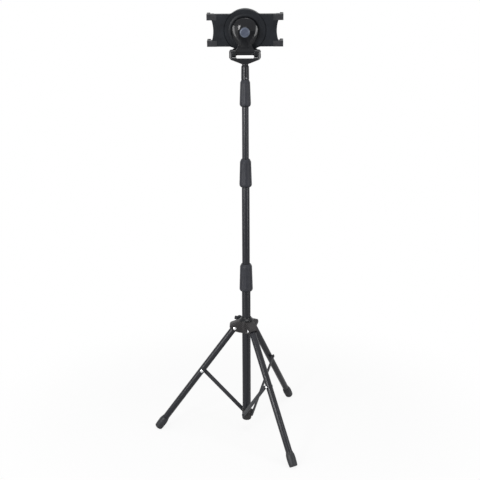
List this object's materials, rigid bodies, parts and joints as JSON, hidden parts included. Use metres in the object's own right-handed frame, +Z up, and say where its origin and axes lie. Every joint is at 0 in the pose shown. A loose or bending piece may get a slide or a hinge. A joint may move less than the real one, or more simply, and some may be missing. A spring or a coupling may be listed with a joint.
{
  "type": "tablet floor stand",
  "caption": "Folding tripod floor stand with a telescopic twist-lock pole and a tilting, turning tablet holder with sprung corner-hook arms.",
  "frame": {"origin": "on the floor, under the axis of the pole", "axes": "+Z up along the pole; +Y the way the tablet's screen faces; X across the holder"},
  "size_m": [0.4254, 0.4876, 1.241],
  "materials": {
    "tube_paint": "satin black powder coat",
    "grip_plastic": "moulded, fine matte",
    "hub_plastic": "moulded, matte",
    "black_plastic": "moulded, fine matte",
    "gloss_black": "polished black",
    "rubber": "matte",
    "nickel": "nickel plated",
    "button_grey": "satin grey",
    "nylon": "natural nylon"
  },
  "bodies": {
    "pole_base": {"main_tube": "tube_paint", "end_cap": "rubber", "brace_collar": "hub_plastic", "collar_pins": "nickel", "collet_1": "nylon"},
    "lower_grip": {"grip_1": "grip_plastic"},
    "section_2": {"tube_2": "tube_paint", "guide_plug_2": "nylon", "collet_2": "nylon"},
    "middle_grip": {"grip_2": "grip_plastic"},
    "section_3": {"tube_3": "tube_paint", "guide_plug_3": "nylon", "collet_3": "nylon"},
    "upper_grip": {"grip_3": "grip_plastic"},
    "section_4": {"tube_4": "tube_paint", "guide_plug_4": "nylon"},
    "yoke_body": {"yoke": "gloss_black", "set_screw": "nickel", "tilt_bolt": "nickel", "tilt_nut": "nickel"},
    "tilt_arm": {"swivel_arm": "gloss_black", "swivel_cap": "button_grey", "tilt_washers": "nylon"},
    "holder_body": {"rear_shell": "black_plastic", "front_cover": "black_plastic", "cover_screws": "nickel", "front_pad": "rubber", "swivel_bolt": "nickel", "swivel_nut": "nickel", "swivel_washer": "nylon", "left_spring": "nickel", "right_spring": "nickel"},
    "left_slider": {"left_arm": "black_plastic", "left_pads": "rubber"},
    "right_slider": {"right_arm": "black_plastic", "right_pads": "rubber"},
    "hub_body": {"hub": "hub_plastic", "hub_ring": "rubber", "hub_pins": "nickel", "lock_nut": "nickel"},
    "hub_lock": {"lock_screw": "nickel", "lock_knob": "black_plastic"},
    "brace_1_body": {"brace_1": "tube_paint"},
    "leg_1_body": {"leg_1": "tube_paint", "leg_plug_1": "rubber", "foot_1": "rubber", "brace_rivet_1": "nickel"},
    "brace_2_body": {"brace_2": "tube_paint"},
    "leg_2_body": {"leg_2": "tube_paint", "leg_plug_2": "rubber", "foot_2": "rubber", "brace_rivet_2": "nickel"},
    "brace_3_body": {"brace_3": "tube_paint"},
    "leg_3_body": {"leg_3": "tube_paint", "leg_plug_3": "rubber", "foot_3": "rubber", "brace_rivet_3": "nickel"}
  },
  "joints": [
    {"name": "leg_fold", "type": "hinge", "parent": "pole_base", "child": "brace_1_body", "pos_m": [-0.0057, 0, 0.0505], "axis": [0, 1, 0], "range_deg": [0, 30.8]},
    {"name": "leg_1_link", "type": "hinge", "parent": "brace_1_body", "child": "leg_1_body", "pos_m": [-0.13372, 0, 0.19247], "axis": [0, -1, 0], "range_deg": [0, 63.58]},
    {"name": "hub_link", "type": "hinge", "parent": "leg_1_body", "child": "hub_body", "pos_m": [-0.0338, 0, 0.33], "axis": [0, 1, 0], "range_deg": [0, 32.78]},
    {"name": "leg_2_pivot", "type": "hinge", "parent": "hub_body", "child": "leg_2_body", "pos_m": [0.0169, -0.02927, 0.33], "axis": [0.866, 0.5, 0], "range_deg": [0, 32.78]},
    {"name": "leg_3_pivot", "type": "hinge", "parent": "hub_body", "child": "leg_3_body", "pos_m": [0.0169, 0.02927, 0.33], "axis": [-0.866, 0.5, 0], "range_deg": [0, 32.78]},
    {"name": "brace_2_pivot", "type": "hinge", "parent": "pole_base", "child": "brace_2_body", "pos_m": [0.00285, -0.00494, 0.0505], "axis": [-0.866, -0.5, 0], "range_deg": [0, 30.85]},
    {"name": "brace_3_pivot", "type": "hinge", "parent": "pole_base", "child": "brace_3_body", "pos_m": [0.00285, 0.00494, 0.0505], "axis": [0.866, -0.5, 0], "range_deg": [0, 30.85]},
    {"name": "hub_lock_turn", "type": "hinge", "parent": "hub_body", "child": "hub_lock", "pos_m": [-0.0235, 0.0407, 0.3452], "axis": [-0.5, 0.866, 0], "range_deg": [0, 180]},
    {"name": "lower_grip_twist", "type": "hinge", "parent": "pole_base", "child": "lower_grip", "pos_m": [0, 0, 0.484], "axis": [0, 0, 1], "range_deg": [0, 90]},
    {"name": "section_2_slide", "type": "slide", "parent": "pole_base", "child": "section_2", "axis": [0, 0, 1], "range_m": [-0.22, 0.09]},
    {"name": "middle_grip_twist", "type": "hinge", "parent": "section_2", "child": "middle_grip", "pos_m": [0, 0, 0.79], "axis": [0, 0, 1], "range_deg": [0, 90]},
    {"name": "section_3_slide", "type": "slide", "parent": "section_2", "child": "section_3", "axis": [0, 0, 1], "range_m": [-0.141, 0.145]},
    {"name": "upper_grip_twist", "type": "hinge", "parent": "section_3", "child": "upper_grip", "pos_m": [0, 0, 1.015], "axis": [0, 0, 1], "range_deg": [0, 90]},
    {"name": "section_4_slide", "type": "slide", "parent": "section_3", "child": "section_4", "axis": [0, 0, 1], "range_m": [0, 0.3]},
    {"name": "pole_head_turn", "type": "hinge", "parent": "section_4", "child": "yoke_body", "pos_m": [0, 0, 1.0726], "axis": [0, 0, 1], "continuous": true},
    {"name": "holder_tilt", "type": "hinge", "parent": "yoke_body", "child": "tilt_arm", "pos_m": [0, 0, 1.1226], "axis": [1, 0, 0], "range_deg": [-8, 77]},
    {"name": "holder_swivel", "type": "hinge", "parent": "tilt_arm", "child": "holder_body", "pos_m": [0, -0.00804, 1.17979], "axis": [0, 0.9903, 0.1392], "continuous": true},
    {"name": "left_arm_slide", "type": "slide", "parent": "holder_body", "child": "left_slider", "axis": [-1, 0, 0], "range_m": [0, 0.028], "stiffness_N_per_m": 120, "springref_m": -0.05, "deforming": ["left_spring"]},
    {"name": "right_arm_slide", "type": "slide", "parent": "holder_body", "child": "right_slider", "axis": [1, 0, 0], "range_m": [0, 0.028], "stiffness_N_per_m": 120, "springref_m": -0.05, "deforming": ["right_spring"]}
  ],
  "couplings": [
    {"joint": "leg_1_link", "follows": "leg_fold", "ratio": 2.0627},
    {"joint": "hub_link", "follows": "leg_fold", "ratio": 1.0627},
    {"joint": "leg_2_pivot", "follows": "leg_fold", "ratio": 1.0627},
    {"joint": "leg_3_pivot", "follows": "leg_fold", "ratio": 1.0627},
    {"joint": "brace_2_pivot", "follows": "leg_fold", "ratio": 1},
    {"joint": "brace_3_pivot", "follows": "leg_fold", "ratio": 1}
  ]
}
